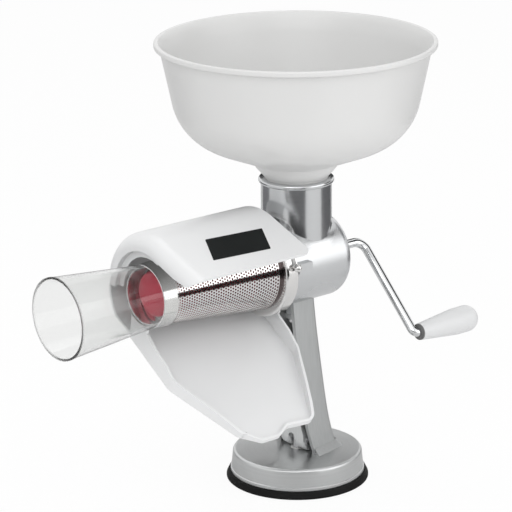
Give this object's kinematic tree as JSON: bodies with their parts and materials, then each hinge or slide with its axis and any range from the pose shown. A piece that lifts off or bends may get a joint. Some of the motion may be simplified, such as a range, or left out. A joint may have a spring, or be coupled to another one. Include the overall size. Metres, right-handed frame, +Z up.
{
  "type": "tomato strainer",
  "caption": "Hand cranked tomato strainer: hopper over an auger barrel, tapered perforated screen under a hood, juice chute, clear waste funnel and a suction base.",
  "frame": {"origin": "centre of the suction cup's foot, on the table", "axes": "+Z up, +X along the barrel's axis towards the crank, -Y towards the front, where the juice runs off"},
  "size_m": [0.4029, 0.24, 0.392],
  "materials": {
    "white_plastic": "glossy moulded",
    "grip_plastic": "satin moulded",
    "polished_casting": "polished",
    "satin_casting": "satin",
    "brushed_dish": "brushed",
    "screen_sheet": "bright perforated",
    "polished_ring": "polished",
    "black_rubber": "matte",
    "clear_plastic": "clear",
    "red_plastic": "satin moulded",
    "chromed_rod": "chromed",
    "plated_steel": "zinc plated",
    "stainless_screw": "bright",
    "nylon": "matte",
    "dark_fibre": "matte",
    "lever_casting": "satin"
  },
  "bodies": {
    "stand": {"suction_cup": "black_rubber", "base_dish": "brushed_dish", "base_screws": "stainless_screw", "stem_bush": "nylon", "column": "satin_casting", "saddle_screws": "stainless_screw", "barrel_body": "polished_casting", "shaft_bushing": "nylon", "bayonet_studs": "polished_ring", "flange_gasket": "black_rubber", "squirt_guard": "white_plastic", "juice_chute": "white_plastic"},
    "strainer": {"screen_flange": "polished_ring", "strainer_screen": "screen_sheet", "screen_end_collar": "polished_ring"},
    "funnel": {"waste_funnel": "clear_plastic"},
    "crank": {"crank_rod": "chromed_rod", "drive_pin": "plated_steel", "grip_washer": "dark_fibre", "auger": "red_plastic", "auger_spring": "plated_steel", "thrust_washers": "nylon"},
    "grip": {"crank_grip": "grip_plastic"},
    "stem": {"suction_stem": "plated_steel", "lever_pin": "plated_steel", "lever_clips": "plated_steel"},
    "lever": {"cam_lever": "lever_casting"},
    "hopper": {"hopper": "white_plastic"}
  },
  "joints": [
    {"name": "crank_turn", "type": "hinge", "parent": "stand", "child": "crank", "pos_m": [0, 0, 0.2], "axis": [1, 0, 0], "continuous": true},
    {"name": "grip_spin", "type": "hinge", "parent": "crank", "child": "grip", "pos_m": [0.1, -0.0685, 0.1314], "axis": [1, 0, 0], "continuous": true},
    {"name": "stem_lift", "type": "slide", "parent": "stand", "child": "stem", "axis": [0, 0, 1], "range_m": [-0.0025, 0], "deforming": ["suction_cup"]},
    {"name": "suction_lever", "type": "hinge", "parent": "stem", "child": "lever", "pos_m": [0, 0, 0.0352], "axis": [0, -1, 0], "range_deg": [0, 80]},
    {"name": "hopper_lift", "type": "slide", "parent": "stand", "child": "hopper", "axis": [0, 0, 1], "range_m": [0, 0.045]},
    {"name": "strainer_twist", "type": "hinge", "parent": "stand", "child": "strainer", "pos_m": [-0.04, 0, 0.2], "axis": [1, 0, 0], "range_deg": [0, 15]},
    {"name": "funnel_pull", "type": "slide", "parent": "strainer", "child": "funnel", "axis": [-1, 0, 0], "range_m": [0, 0.03]}
  ],
  "couplings": [
    {"joint": "stem_lift", "follows": "suction_lever", "m_per_rad": -0.00179}
  ]
}
